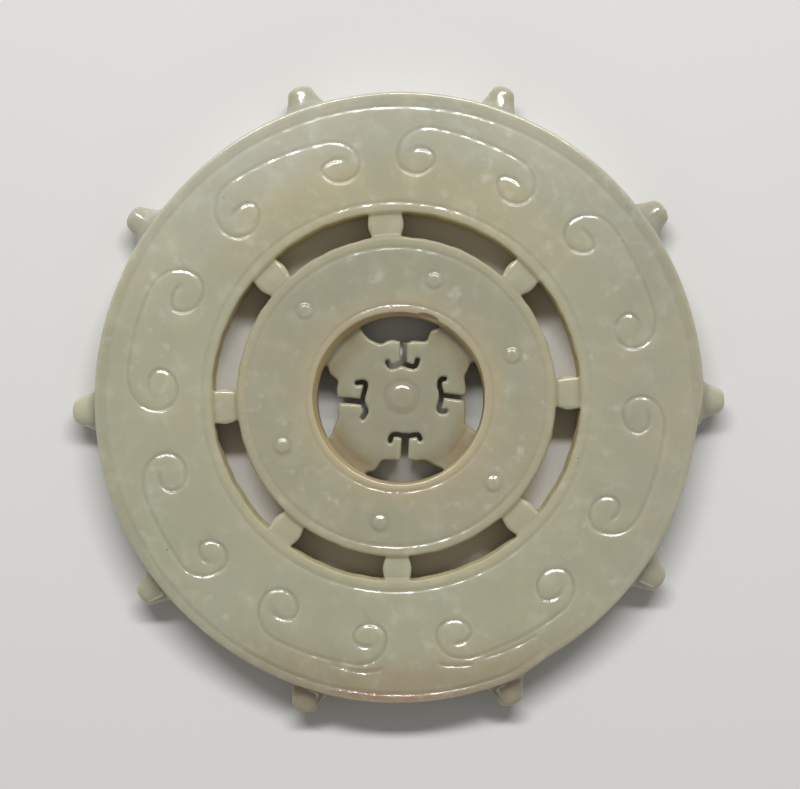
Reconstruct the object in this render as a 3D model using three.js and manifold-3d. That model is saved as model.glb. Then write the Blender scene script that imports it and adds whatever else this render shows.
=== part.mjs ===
import * as THREE from 'three';
import { mergeVertices } from 'three/addons/utils/BufferGeometryUtils.js';
import Module from 'manifold-3d';

// A jade wheel ornament, carved and pierced in one piece, lying on its plain back.
// Millimetres: X and Y run across the wheel, Z rises out of the carved front.
// The origin is the rim's centre on the back. Angles are degrees clockwise from +Y, seen from the front.

const wasm = await Module();
wasm.setup();

// Driving dimensions of the slab
const rimRadius = 44;
const thickness = 7;
const edgeRounding = 1;
const edgeSteps = 2;
const roundSteps = 72;
const overshoot = 1;

// The rim was ground thinner along one stretch
const groundFrom = 93;
const groundTo = 154;
const groundFade = 5;
const groundDepth = 0.85;
const groundInnerRadius = 41;

// Knobs around the rim: angle and height above the rim
const knobs = [
  [18.8, 3.7], [54.3, 3.4], [90.5, 3.25], [125.3, 2.75], [159.7, 3.6],
  [197.2, 3.8], [232.2, 3.65], [267.5, 3.6], [304.3, 3.5], [341.9, 3.6],
];
const knobRootRadius = 2.85;
const knobRootDepth = 2.2;
const knobSteps = 12;
// Bell profile of a knob: share of the root radius at a share of the height
const knobProfile = [[1, -0.1], [0.84, 0.15], [0.7, 0.5], [0.56, 0.78], [0.35, 0.95], [0, 1]];

// Arc slots between the two rings: first and last angle of each
const slotCentre = new THREE.Vector2(-0.45, 0.2);
const slotInnerRadius = 23.05;
const slotOuterRadius = 26.57;
const slots = [
  [2.4, 40.4], [51.8, 83.2], [94.4, 128.5], [139.9, 175],
  [184.6, 214.4], [225, 260.8], [272.5, 307.9], [319.3, 350.4],
];
const slotCornerAngle = 0.9;
const slotSteps = 6;

// The struts between the slots are cushions, lower than the rings on both sides
const strutDrop = 0.45;
const strutEdgeDrop = 1;
const strutCrown = 0.9;
const strutOverhang = 0.9;

// Border grooves of the front: radius and centre
const grooveWidth = 0.7;
const grooveDepth = 0.25;
const grooves = [
  { radius: 42.5, x: 0, y: -0.46, steps: 60 },
  { radius: 28.2, x: slotCentre.x, y: slotCentre.y, steps: 46 },
  { radius: 21.5, x: slotCentre.x, y: slotCentre.y, steps: 38 },
  { radius: 13.7, x: 0, y: 0, steps: 32 },
];

// Hub: a thinner disc set back from both faces
const hubMouthRadius = 12.46;
const hubFloorRadius = 11.95;
const hubFloorShift = new THREE.Vector2(0.15, -0.24);
const hubFrontRecess = 2.1;
const hubBackRecess = 2;
const hubBackMouthRadius = 12.2;
const hubSteps = 48;

// Pierced openings of the hub, each in its own frame: [outward, clockwise] from the wheel's centre.
// A segment lies against the hub wall, and a sawn stem leads from it to two curled arms.
const openings = [
  {
    facing: 0,
    segment: [[10.2, -5.7], [8.6, -3.7], [8.45, 3.5], [10.1, 5.7]],
    stem: { from: [8.6, 0.45], to: [5.1, 0.4], width: 0.75 },
    arms: [[[5.1, 0.4], [4.6, -1.3], [5.3, -1.75]], [[5.1, 0.4], [4.6, 2.2], [5.55, 2.65]]],
  },
  {
    facing: 90,
    segment: [[10.8, -5.1], [9.5, -3.3], [9.6, 3.7], [10.9, 4.75]],
    stem: { from: [9.7, 0], to: [6.15, -0.35], width: 0.65 },
    arms: [[[6.15, -0.35], [5.8, -1.85], [6.4, -2.75]], [[6.15, -0.35], [5.75, 1.6], [6.55, 1.85]]],
  },
  {
    facing: 180,
    segment: [[10.5, -6.4], [9.1, -3.7], [9.1, 2.3], [10.9, 4.9]],
    stem: { from: [9.2, -0.6], to: [5.65, -0.8], width: 1 },
    arms: [[[5.65, -0.8], [5.3, -2.6], [5.95, -3]], [[5.65, -0.8], [5.3, 1.05], [6.2, 1.4]]],
  },
  {
    facing: 270,
    segment: [[10.25, -5.55], [9, -2.85], [9, 2.65], [10.8, 4.75]],
    stem: { from: [9.1, -0.35], to: [5.55, -0.4], width: 0.8 },
    arms: [[[5.55, -0.4], [4.85, -2.2], [5.35, -2.85]], [[5.55, -0.4], [5.05, 2.2], [6.2, 2.2]]],
  },
];
const armWidth = 0.7;
const segmentRadius = hubFloorRadius + 0.1;
const wallSteps = 8;
const kerfEndSteps = 3;

// Boss in the middle of the hub disc
const hubBoss = { x: 0.34, y: 0.03, radius: 1.9, height: 0.35 };

// Bosses on the inner ring: angle and distance from the centre
const bosses = [[16.5, 17.6], [69.4, 17.3], [132.5, 18.3], [189, 18.3], [247.5, 18.3], [312.5, 18.5]];
const bossRadius = 1.25;
const bossHeight = 0.35;
const bossSteps = 12;
// Profile of a boss: share of its radius at a share of its height
const bossProfile = [[1, 0], [0.8, 0.6], [0.45, 0.9], [0, 1]];

// Cloud scrolls of the outer ring: the arc's radius, then angle, radius and size of the two volutes
const scrolls = [
  { arc: 39.4, left: [3.9, 34.7, 0.95], right: [28.75, 34.6, 0.94] },
  { arc: 39.6, left: [48.2, 35, 0.91], right: [73.9, 34.7, 0.9] },
  { arc: 38.7, left: [94, 34.6, 0.94], right: [119.4, 34.05, 0.92] },
  { arc: 39.1, left: [140.4, 35, 0.94], right: [167.1, 35, 0.89] },
  { arc: 39.4, left: [187, 34.9, 0.84], right: [210, 34.55, 0.95] },
  { arc: 39.6, left: [229.9, 35.3, 0.82], right: [252.1, 34.9, 1] },
  { arc: 39.4, left: [271.9, 34.6, 1.05], right: [296.2, 34.55, 1.07] },
  { arc: 39.6, left: [318.3, 34.55, 1.05], right: [345.7, 34.55, 1] },
];
// A volute of size 1 is three elliptical arcs: a shoulder off the scroll's arc, a loop, and a tail inside it
const loopHalfWidth = 2.85;
const loopDepth = 2.5;
const shoulderReach = 6.5;
const tailHalfWidth = 2;
const tailHeight = 1.8;
const tailEnd = 35;
const voluteSteps = 5;
const arcSteps = 4;
const sweepSteps = 36;
const scrollHalfWidth = 0.55;
const scrollDepth = 0.28;

const jadeColour = 0xa8a68c;
const jadeRoughness = 0.35;

// Place at a distance and angle from the wheel's centre
function polar(radius, degrees) {
  const angle = THREE.MathUtils.degToRad(degrees);
  return new THREE.Vector2(radius * Math.sin(angle), radius * Math.cos(angle));
}

// A closed solid of a geometry's triangles, ready to be joined or cut
function solidOf(geometry) {
  geometry.deleteAttribute('normal');
  geometry.deleteAttribute('uv');
  const merged = mergeVertices(geometry, 1e-4);
  const corners = merged.index.array;
  const triangles = [];
  for (let i = 0; i < corners.length; i += 3) {
    const [a, b, c] = [corners[i], corners[i + 1], corners[i + 2]];
    if (a !== b && b !== c && c !== a) {
      triangles.push(a, b, c);
    }
  }
  return new wasm.Manifold(new wasm.Mesh({
    numProp: 3,
    vertProperties: Float32Array.from(merged.attributes.position.array),
    triVerts: Uint32Array.from(triangles),
  }));
}

// The geometry of a finished solid
function geometryOf(solid) {
  const mesh = solid.getMesh();
  const geometry = new THREE.BufferGeometry();
  geometry.setAttribute('position', new THREE.BufferAttribute(mesh.vertProperties, 3));
  geometry.setIndex(new THREE.BufferAttribute(mesh.triVerts, 1));
  geometry.computeVertexNormals();
  return geometry;
}

// A profile of [radius, height] points turned about the vertical axis through a centre
function turned(profile, steps, x = 0, y = 0) {
  const points = profile.map(([radius, height]) => new THREE.Vector2(radius, height));
  const geometry = new THREE.LatheGeometry(points, steps);
  geometry.rotateX(Math.PI / 2);
  geometry.translate(x, y, 0);
  return geometry;
}

// A flat outline pushed right through the slab
function pierced(shape, steps) {
  const depth = thickness + 2 * overshoot;
  const geometry = new THREE.ExtrudeGeometry(shape, { depth, curveSegments: steps, bevelEnabled: false });
  geometry.translate(0, 0, -overshoot);
  return solidOf(geometry);
}

// Quarter-round corner of the slab's edge, as profile points
function roundedCorner(radius, height, fromDegrees) {
  const points = [];
  for (let step = 0; step <= edgeSteps; step += 1) {
    const angle = THREE.MathUtils.degToRad(fromDegrees + 90 * step / edgeSteps);
    points.push([radius + edgeRounding * Math.cos(angle), height + edgeRounding * Math.sin(angle)]);
  }
  return points;
}

// How much of the worn stretch's depth is gone at an angle, from 0 to 1
function groundShare(degrees) {
  const into = THREE.MathUtils.smoothstep(degrees, groundFrom - groundFade, groundFrom + groundFade);
  const out = THREE.MathUtils.smoothstep(degrees, groundTo - groundFade, groundTo + groundFade);
  return into - out;
}

// The uncut disc, with its rim drawn in along the worn stretch
function slab() {
  const cornerRadius = rimRadius - edgeRounding;
  const geometry = turned([
    [0, 0],
    ...roundedCorner(cornerRadius, edgeRounding, -90),
    ...roundedCorner(cornerRadius, thickness - edgeRounding, 0),
    [0, thickness],
  ], roundSteps);
  const place = geometry.attributes.position;
  for (let i = 0; i < place.count; i += 1) {
    const [x, y] = [place.getX(i), place.getY(i)];
    const radius = Math.hypot(x, y);
    if (radius > groundInnerRadius) {
      const degrees = THREE.MathUtils.euclideanModulo(THREE.MathUtils.radToDeg(Math.atan2(x, y)), 360);
      const scale = 1 - groundDepth * groundShare(degrees) / radius;
      place.setXY(i, x * scale, y * scale);
    }
  }
  return solidOf(geometry);
}

// A bell-shaped knob that stands out from the rim at mid-thickness
function knob([degrees, height]) {
  const bell = knobProfile.map(([across, up]) => [across * knobRootRadius, up * height]);
  const geometry = turned([[0, -knobRootDepth], [knobRootRadius, -knobRootDepth], ...bell], knobSteps);
  geometry.rotateX(-Math.PI / 2);
  geometry.translate(0, rimRadius, thickness / 2);
  geometry.rotateZ(-THREE.MathUtils.degToRad(degrees));
  return solidOf(geometry);
}

// One arc slot, whose ends swell in beside the struts and have small corner notches
function slot([first, last]) {
  const middle = (slotInnerRadius + slotOuterRadius) / 2;
  const toArc = (degrees) => Math.PI / 2 - THREE.MathUtils.degToRad(degrees);
  const notched = [first - slotCornerAngle, last + slotCornerAngle];
  const innerLast = polar(slotInnerRadius, notched[1]);
  const outerFirst = polar(slotOuterRadius, notched[0]);
  const swellLast = polar(middle, last - slotCornerAngle);
  const swellFirst = polar(middle, first + slotCornerAngle);
  const shape = new THREE.Shape();
  shape.absarc(0, 0, slotOuterRadius, toArc(notched[0]), toArc(notched[1]), true);
  shape.quadraticCurveTo(swellLast.x, swellLast.y, innerLast.x, innerLast.y);
  shape.absarc(0, 0, slotInnerRadius, toArc(notched[1]), toArc(notched[0]), false);
  shape.quadraticCurveTo(swellFirst.x, swellFirst.y, outerFirst.x, outerFirst.y);
  return pierced(shape, slotSteps).translate([slotCentre.x, slotCentre.y, 0]);
}

// The cut that lowers the strut between two slots on one face, given that face's height and outward sign
function strutCut(index, face, outward) {
  const last = slots[index][1];
  const next = slots[(index + 1) % slots.length][0];
  const gap = THREE.MathUtils.euclideanModulo(next - last, 360);
  const halfLength = slotOuterRadius * THREE.MathUtils.degToRad(gap / 2) + strutOverhang;
  const at = (drop) => face - outward * drop;
  const section = new THREE.Shape();
  section.moveTo(slotInnerRadius, at(-overshoot));
  section.lineTo(slotInnerRadius, at(strutEdgeDrop));
  section.lineTo(slotInnerRadius + strutCrown, at(strutDrop));
  section.lineTo(slotOuterRadius - strutCrown, at(strutDrop));
  section.lineTo(slotOuterRadius, at(strutEdgeDrop));
  section.lineTo(slotOuterRadius, at(-overshoot));
  const geometry = new THREE.ExtrudeGeometry(section, { depth: 2 * halfLength, bevelEnabled: false });
  geometry.translate(0, 0, -halfLength);
  geometry.rotateX(Math.PI / 2);
  geometry.rotateZ(Math.PI / 2 - THREE.MathUtils.degToRad(last + gap / 2));
  geometry.translate(slotCentre.x, slotCentre.y, 0);
  return solidOf(geometry);
}

// A V-shaped border groove in the front face
function borderGroove({ radius, x, y, steps }) {
  const lip = thickness + grooveDepth;
  const inner = [radius - grooveWidth, lip];
  const outer = [radius + grooveWidth, lip];
  return solidOf(turned([inner, [radius, thickness - grooveDepth], outer, inner], steps, x, y));
}

// The recesses that leave the hub disc in the middle; the front one leans, so its floor is off-centre
function hubRecesses() {
  const frontFloor = thickness - hubFrontRecess;
  const slope = (hubMouthRadius - hubFloorRadius) / hubFrontRecess;
  const front = turned([
    [0, frontFloor],
    [hubFloorRadius, frontFloor],
    [hubMouthRadius + slope * overshoot, thickness + overshoot],
    [0, thickness + overshoot],
  ], hubSteps);
  const lean = hubFloorShift.clone().divideScalar(-hubFrontRecess);
  front.translate(0, 0, -thickness);
  front.applyMatrix4(new THREE.Matrix4().makeShear(0, 0, 0, 0, lean.x, lean.y));
  front.translate(0, 0, thickness);
  const back = turned([
    [0, -overshoot],
    [hubBackMouthRadius, -overshoot],
    [hubFloorRadius, hubBackRecess],
    [0, hubBackRecess],
  ], hubSteps, hubFloorShift.x, hubFloorShift.y);
  return solidOf(front).add(solidOf(back));
}

// Turns an opening's own [outward, clockwise] point into the wheel's X and Y
function hubPoint([outward, clockwise], facing) {
  const place = new THREE.Vector2(clockwise, outward);
  return place.rotateAround(new THREE.Vector2(), -THREE.MathUtils.degToRad(facing));
}

// A straight sawn kerf between two points, with round ends
function kerf(start, end, width) {
  const along = end.clone().sub(start).angle();
  const quarter = Math.PI / 2;
  const shape = new THREE.Shape();
  shape.absarc(start.x, start.y, width / 2, along + quarter, along + 3 * quarter, false);
  shape.absarc(end.x, end.y, width / 2, along - quarter, along + quarter, false);
  return pierced(shape, kerfEndSteps);
}

// The segment between an opening's inner edge and the hub wall; its two tips run out on the wall
function wallSegment([firstTip, ...rest]) {
  const lastTip = rest.pop();
  const [from, to] = [lastTip, firstTip].map((tip) => tip.sub(hubFloorShift).angle());
  const shape = new THREE.Shape();
  shape.absarc(hubFloorShift.x, hubFloorShift.y, segmentRadius, from, to, false);
  rest.forEach((point) => shape.lineTo(point.x, point.y));
  return pierced(shape, wallSteps);
}

// One pierced opening of the hub: segment, stem and two curled arms
function hubOpening({ facing, segment, stem, arms }) {
  const placed = (point) => hubPoint(point, facing);
  let opening = wallSegment(segment.map(placed));
  opening = opening.add(kerf(placed(stem.from), placed(stem.to), stem.width));
  for (const [root, elbow, end] of arms) {
    opening = opening.add(kerf(placed(root), placed(elbow), armWidth));
    opening = opening.add(kerf(placed(elbow), placed(end), armWidth));
  }
  return opening;
}

// A low boss rooted in a surface
function boss(x, y, surface, radius, height) {
  const root = surface - height;
  const crown = bossProfile.map(([across, up]) => [across * radius, surface + up * height]);
  return solidOf(turned([[0, root], [radius, root], ...crown], bossSteps, x, y));
}

// Points of an elliptical arc, as [sideways, outward] from a volute's centre, without the arc's first point
function ellipseArc(middle, halfWidth, height, fromDegrees, toDegrees) {
  const points = [];
  for (let step = 1; step <= voluteSteps; step += 1) {
    const angle = THREE.MathUtils.degToRad(THREE.MathUtils.lerp(fromDegrees, toDegrees, step / voluteSteps));
    points.push([middle + halfWidth * Math.cos(angle), height * Math.sin(angle)]);
  }
  return points;
}

// A volute's path from the scroll's arc to its core, as [radius, degrees]; side is 1 for the right one, or -1
function volute([degrees, radius, size], arc, side) {
  const shoulder = loopHalfWidth - shoulderReach;
  const rise = (arc - radius) / size;
  const path = [
    [shoulder, rise],
    ...ellipseArc(shoulder, shoulderReach, rise, 90, 0),
    ...ellipseArc(0, loopHalfWidth, loopDepth, 0, -180),
    ...ellipseArc(tailHalfWidth - loopHalfWidth, tailHalfWidth, tailHeight, 180, tailEnd),
  ];
  return path.map(([sideways, outward]) => {
    const turn = THREE.MathUtils.radToDeg(side * size * sideways / radius);
    return [radius + size * outward, degrees + turn];
  });
}

// The V-shaped cut of a cloud scroll, which runs from one volute over an arc into the other
function scrollCut({ arc, left, right }) {
  const path = volute(left, arc, -1).reverse();
  const rightPath = volute(right, arc, 1);
  const from = path[path.length - 1][1];
  const to = rightPath[0][1];
  for (let step = 1; step < arcSteps; step += 1) {
    path.push([arc, THREE.MathUtils.lerp(from, to, step / arcSteps)]);
  }
  path.push(...rightPath);
  const places = path.map(([radius, degrees]) => polar(radius, degrees));
  const route = new THREE.CatmullRomCurve3(places.map(({ x, y }) => new THREE.Vector3(x, y, thickness)));
  const section = new THREE.Shape();
  section.moveTo(-scrollDepth, 0);
  section.lineTo(0, -scrollHalfWidth);
  section.lineTo(scrollDepth, 0);
  section.lineTo(0, scrollHalfWidth);
  return solidOf(new THREE.ExtrudeGeometry(section, { steps: sweepSteps, extrudePath: route }));
}

// The whole wheel: blank, knobs, cuts, then the raised bosses
function jadeWheel() {
  let wheel = slab();
  for (const each of knobs) {
    wheel = wheel.add(knob(each));
  }
  slots.forEach((each, index) => {
    wheel = wheel.subtract(slot(each));
    wheel = wheel.subtract(strutCut(index, thickness, 1));
    wheel = wheel.subtract(strutCut(index, 0, -1));
  });
  for (const each of grooves) {
    wheel = wheel.subtract(borderGroove(each));
  }
  wheel = wheel.subtract(hubRecesses());
  for (const each of openings) {
    wheel = wheel.subtract(hubOpening(each));
  }
  for (const each of scrolls) {
    wheel = wheel.subtract(scrollCut(each));
  }
  const hubFloor = thickness - hubFrontRecess;
  wheel = wheel.add(boss(hubBoss.x, hubBoss.y, hubFloor, hubBoss.radius, hubBoss.height));
  for (const [degrees, radius] of bosses) {
    const { x, y } = polar(radius, degrees);
    wheel = wheel.add(boss(x, y, thickness, bossRadius, bossHeight));
  }
  return geometryOf(wheel);
}

const jade = new THREE.MeshStandardMaterial({ color: jadeColour, roughness: jadeRoughness, metalness: 0 });
const ornament = new THREE.Group();
const wheelMesh = new THREE.Mesh(jadeWheel(), jade);
wheelMesh.name = 'jade_wheel';
ornament.add(wheelMesh);

export default ornament;
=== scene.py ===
import itertools
import math

import bmesh
import bpy
import numpy as np
from mathutils import Matrix, Vector


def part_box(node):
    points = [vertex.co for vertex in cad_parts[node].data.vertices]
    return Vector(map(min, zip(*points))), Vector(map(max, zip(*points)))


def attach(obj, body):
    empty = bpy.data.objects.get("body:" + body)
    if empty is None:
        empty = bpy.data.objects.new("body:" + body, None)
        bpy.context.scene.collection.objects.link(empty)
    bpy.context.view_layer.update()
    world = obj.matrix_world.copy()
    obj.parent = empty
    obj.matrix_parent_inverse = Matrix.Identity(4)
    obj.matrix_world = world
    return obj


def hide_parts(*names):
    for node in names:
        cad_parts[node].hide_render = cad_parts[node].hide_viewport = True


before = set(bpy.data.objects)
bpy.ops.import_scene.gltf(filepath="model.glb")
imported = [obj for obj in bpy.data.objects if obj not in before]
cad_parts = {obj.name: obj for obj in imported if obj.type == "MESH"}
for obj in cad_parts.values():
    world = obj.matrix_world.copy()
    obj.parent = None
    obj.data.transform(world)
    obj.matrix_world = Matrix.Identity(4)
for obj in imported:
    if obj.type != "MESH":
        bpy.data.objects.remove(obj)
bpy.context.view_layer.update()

# A jade wheel ornament, carved and pierced in one piece, lying on its back on a pale floor.
# The carving is worked out in millimetres, and the finished mesh is scaled to metres.
# Angles are degrees clockwise from +Y, seen from the front.
MM = 0.001

# Slab, measured on the frame's own node
slab_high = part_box("jade_wheel")[1]
BOSS_HEIGHT = 0.35
FRONT = slab_high.z / MM - BOSS_HEIGHT
MIDDLE = FRONT / 2
RIM_RADIUS = 44
FRONT_ROUNDING = (0.3, 0.4)
BACK_ROUNDING = (1, 1.1)
ROUNDING_STEPS = 6
TURN_STEPS = 180
OVERSHOOT = 1
MERGE_DISTANCE = 1e-4

# The rim was ground thinner along one stretch
GROUND_FROM = 93
GROUND_TO = 154
GROUND_FADE = 5
GROUND_DEPTH = 0.85
GROUND_INNER_RADIUS = 41
GROUND_GROOVE_FADE = 0.7

# Hand-cut waver of the rim's outline and of the hub's mouth: angle and change of radius
RIM_WAVER = [
    (0, 0.15), (40, 0.08), (75, -0.15), (165, -0.15), (188, 0.08), (215, -0.05), (250, 0.12), (285, -0.1),
    (311, -0.25), (330, 0), (350, 0.05),
]
MOUTH_WAVER = [
    (0, -0.02), (45, -0.1), (65, 0.05), (90, -0.18), (125, -0.12), (160, 0.08), (220, 0.02), (275, 0.2),
    (330, 0.12),
]

# Knobs around the rim: angle, height above the rim's circle, and share of the common girth
KNOBS = [
    (18.8, 3.7, 0.93), (54.3, 3.4, 1), (90.5, 3.25, 0.97), (125.3, 2.75, 1.03), (159.7, 3.6, 1.01),
    (197.2, 3.73, 1.04), (232.2, 3.65, 1), (267.5, 3.6, 1), (304.3, 3.5, 0.98), (341.9, 3.55, 1),
]
# Outline of a knob: share of its height and half-width; it is thinner from front to back than across
KNOB_OUTLINE = [
    (-0.5, 4.2), (-0.3, 4.1), (-0.06, 3.6), (0, 3.25), (0.07, 2.98), (0.17, 2.72), (0.5, 2.15), (0.74, 1.85),
    (0.87, 1.55), (0.95, 1.1), (0.99, 0.5), (1, 0),
]
KNOB_THICKNESS = 0.64
KNOB_STEPS = 40

# Arc slots between the two rings: first and last angle about the slots' own centre
SLOT_CENTRE = np.array((-0.45, 0.2))
SLOT_INNER_RADIUS = 23.05
SLOT_OUTER_RADIUS = 26.57
SLOTS = [
    (2.4, 40.4), (51.8, 83.2), (94.4, 128.5), (139.9, 175),
    (184.6, 214.4), (225, 260.8), (272.5, 307.9), (319.3, 350.4),
]
SLOT_CORNER = 0.9
SLOT_STEPS = 40
# Waver of the slots' sawn edges, and the number and phase of its waves round a full turn
SLOT_WAVER = 0.09
SLOT_WAVES = [(13, 0.5), (31, 2), (53, 4)]
# The slots' front edges are worn down a little
SLOT_EDGE_DROP = 0.07
SLOT_EDGE_REACH = 0.35

# The struts between the slots are cushions, lower than the rings on both faces
STRUT_DROP = 0.25
STRUT_CROWN = 0.06
STRUT_STEP_START = -0.1
STRUT_STEP = 0.4
STRUT_SIDE_DROP = 0.22
STRUT_SIDE_REACH = 0.7

# Hub: a thinner disc set back from both faces, with its front floor a little off-centre
HUB_MOUTH_RADIUS = 12.46
HUB_FLOOR_RADIUS = 11.95
HUB_FLOOR_SHIFT = np.array((0.15, -0.24))
HUB_FRONT = FRONT - 2.1
HUB_BACK = 2
HUB_BACK_MOUTH_RADIUS = 12.2
HUB_FILLET = 0.4
# A point of the hub this near the front belongs to its mouth, which is looked for this far past its radius
MOUTH_MARGIN = 1

# Pierced openings of the hub in X and Y. The inner edge runs clockwise between two tips on the hub wall,
# the stem leads inwards, and the bar crosses the stem's end with curled tips. A stem may be sawn aslant: its
# lean is the sideways shift for each millimetre up.
OPENINGS = {
    "top": {
        "edge": [(-5.8, 10.27), (-4.66, 8.73), (-2.85, 7.85), (-2.12, 8.1), (-1.22, 8.41), (-0.22, 8.23),
                 (1.17, 8), (1.86, 8.28), (3.31, 8.19), (3.95, 8.34), (4.25, 9.01), (4.6, 9.7), (5.76, 10.2)],
        "stem": [(0.63, 8.8), (0.6, 5)],
        "stem_width": 0.95,
        "stem_lean": 0.26,
        "bar": [(-1.76, 5.2), (-1.4, 4.57), (-0.67, 4.6), (0.35, 5.05), (1.32, 4.66), (2.22, 4.57),
                (2.6, 5.5)],
    },
    "right": {
        "edge": [(10.92, 5.29), (10.28, 4.93), (9.83, 3.84), (9.43, 3.08), (9.56, 1.85), (9.65, 0.76),
                 (9.25, 0.3), (9.29, -0.41), (9.47, -1.23), (9.56, -2.5), (9.53, -3.67), (10.19, -4.31),
                 (10.95, -4.85)],
        "stem": [(9.9, -0.1), (7.66, 0.2), (6, 0.4)],
        "stem_width": 0.66,
        "bar": [(6.55, 2.75), (5.94, 2.58), (5.79, 1.67), (6.1, 0.6), (6, -0.4), (5.7, -1.5), (5.99, -1.95),
                (6.66, -1.92)],
    },
    "bottom": {
        "edge": [(6.53, -10.46), (5.48, -10), (4.58, -9.56), (3.67, -9.1), (2.04, -9.2), (1.41, -8.98),
                 (-0.13, -9.16), (-1.22, -9.05), (-2.45, -9.1), (-3.03, -9.74), (-3.66, -10.55),
                 (-4.88, -10.85)],
        "stem": [(0.62, -9.6), (0.84, -5.6)],
        "stem_width": 1.02,
        "bar": [(-1.36, -6.26), (-1.2, -5.57), (-0.49, -5.3), (0.77, -5.6), (1.95, -5.43), (2.67, -5.4),
                (2.98, -5.97)],
    },
    "left": {
        "edge": [(-10.27, -5.72), (-9.87, -5.31), (-9.4, -3.94), (-8.92, -2.77), (-8.97, -1.77), (-8.8, -0.9),
                 (-8.97, 0.19), (-9.15, 1.04), (-8.97, 2.13), (-9.15, 2.66), (-10.09, 3.45), (-10.31, 4.21),
                 (-10.82, 4.89)],
        "stem": [(-9.6, -0.3), (-7.47, -0.38), (-5.4, -0.6)],
        "stem_width": 0.78,
        "bar": [(-6.2, 2.16), (-5.2, 2.25), (-4.92, 1.76), (-5.24, 0.49), (-5.4, -0.5), (-5.06, -1.41),
                (-4.89, -2.05), (-5.35, -2.86)],
    },
}
BAR_WIDTH = 0.68
WALL_OVERLAP = 0.1
WALL_STEPS = 16
CURVE_STEPS = 3
CAP_STEPS = 7
OPENING_EDGE_DROP = 0.2
OPENING_EDGE_REACH = 0.32

# A chip out of the hub's mouth
CHIP_PLACE = (4.15, 11.55, 6.9)
CHIP_SIZE = (1.6, 0.5, 0.8)
CHIP_STEPS = 3

# Remeshing and finishing of the solid
GRAIN = 0.15
POLISH_SHARE = 0.5
POLISH_ROUNDS = 2
FACE_LIMIT = 190000

# Border grooves of the front: radius, centre, and outer width, inner width and depth of the cut; they are
# shallower towards the left and right
RIM_GROOVE = (42.4, np.array((0, -0.3)), (0.42, 0.65, 0.12))
RING_GROOVES = [
    (28.1, SLOT_CENTRE, (0.43, 0.6, 0.12)),
    (21.6, SLOT_CENTRE, (0.43, 0.6, 0.12)),
    (13.55, np.array((0, 0)), (0.35, 0.45, 0.115)),
]
SIDE_SHARE = 0.5

# Bosses on the inner ring: angle and distance from the centre
BOSSES = [(16.5, 17.6), (69.4, 17.3), (132.5, 18.3), (189, 18.3), (247.5, 18.3), (312.5, 18.5)]
BOSS_RADIUS = 1.15
BOSS_EDGE = 0.5
BOSS_RISE = 0.2
BOSS_MOAT = 0.05
MOAT_HALF_WIDTH = 0.4

# Middle of the hub disc
HUB_BOSS_PLACE = np.array((0.34, 0.03))
HUB_BOSS_RADIUS = 1.85
HUB_BOSS_EDGE = 0.5
HUB_BOSS_RISE = 0.16
HUB_MOAT_RADIUS = 2.45
HUB_MOAT_HALF_WIDTH = 0.65
HUB_MOAT_DEPTH = 0.12
HUB_DOME = 0.15

# Cloud scrolls of the outer ring: the arc's radius at its left and right end, then angle, radius, size and
# tail height of the two volutes
SCROLLS = [
    ((39.3, 38.5), (3.9, 34.7, 0.95, 1.5), (28.75, 34.6, 0.94, 1)),
    ((39.35, 38.75), (48.2, 35, 0.91, 1.1), (73.9, 34.7, 0.9, 1.6)),
    ((38.45, 38.45), (94, 34.6, 0.94, 1.6), (119.4, 34.05, 0.92, 1.6)),
    ((38.65, 38.85), (140.4, 35, 0.94, 1.6), (167.1, 35, 0.89, 1.6)),
    ((38.95, 39.2), (187, 34.9, 0.84, 1.6), (210, 34.55, 0.95, 1.6)),
    ((39.6, 39.3), (229.9, 35.3, 0.82, 1.6), (252.1, 34.9, 1, 1.6)),
    ((39.35, 39.3), (271.9, 34.6, 1.05, 1.6), (296.2, 34.55, 1.07, 1.2)),
    ((39.6, 38.4), (318.3, 34.55, 1.05, 1.3), (345.7, 34.55, 1, 0.95)),
]
# A volute of size 1 is three elliptical arcs: a shoulder off the scroll's arc, a loop, and a tail inside it
LOOP_HALF_WIDTH = 2.85
LOOP_DEPTH = 2.5
SHOULDER_REACH = 4.8
TAIL_HALF_WIDTH = 2
TAIL_END = 40
VOLUTE_STEPS = 12
ARC_STEPS = 10
# Counted in a volute's arcs from its core: where the tail's cut has become the loop's, and the stretch over
# which the arc's cut becomes the loop's
TAIL_CUT_END = 0.8
LOOP_CUT_ENDS = (2.6, 2)
# Counted in steps from the core, the tail's tip deepens to its full cut
TAIL_TIP = (-1, 4)
# Outer width, inner width and depth of a scroll's cut along its arc, round its loops and in its tails
ARC_CUT = np.array((0.43, 0.6, 0.125))
LOOP_CUT = np.array((0.38, 0.65, 0.18))
TAIL_CUT = np.array((0.7, 0.6, 0.2))
SCROLL_MARGIN = 2
# Slips of the tool beside the two bottom scrolls, by radius and angle
SLIPS = [
    [(39.45, 150.5), (39.5, 156), (39.4, 161.5)],
    [(39.8, 165), (39.5, 168), (38.9, 171.2)],
    [(39.3, 184), (39.8, 186.5), (39.9, 189), (39.6, 194)],
]
CORE_RADIUS = 1.7
CORE_RISE = 0.08
CORE_SHIFT = 0.6

# Slow waves of the faces, ground by hand: their height, and for each wave its turn in radians to the
# millimetre along X and along Y, and its phase
UNEVEN = 0.04
FACE_WAVES = [(0.21, 0.13, 1.1), (0.11, -0.24, 0.4), (0.37, 0.05, 2.3), (0.09, 0.41, 4.2)]
# Grooves cut by hand: share of the depth that wavers, the waves of it, and the share that is added towards
# the bottom, between two values of Y
WAVER = 0.15
TOOL_WAVES = [(1.7, 0.6, 0), (0.5, -1.9, 1)]
DEEPER = 0.2
DEEPER_BAND = (-5, -25)

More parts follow.
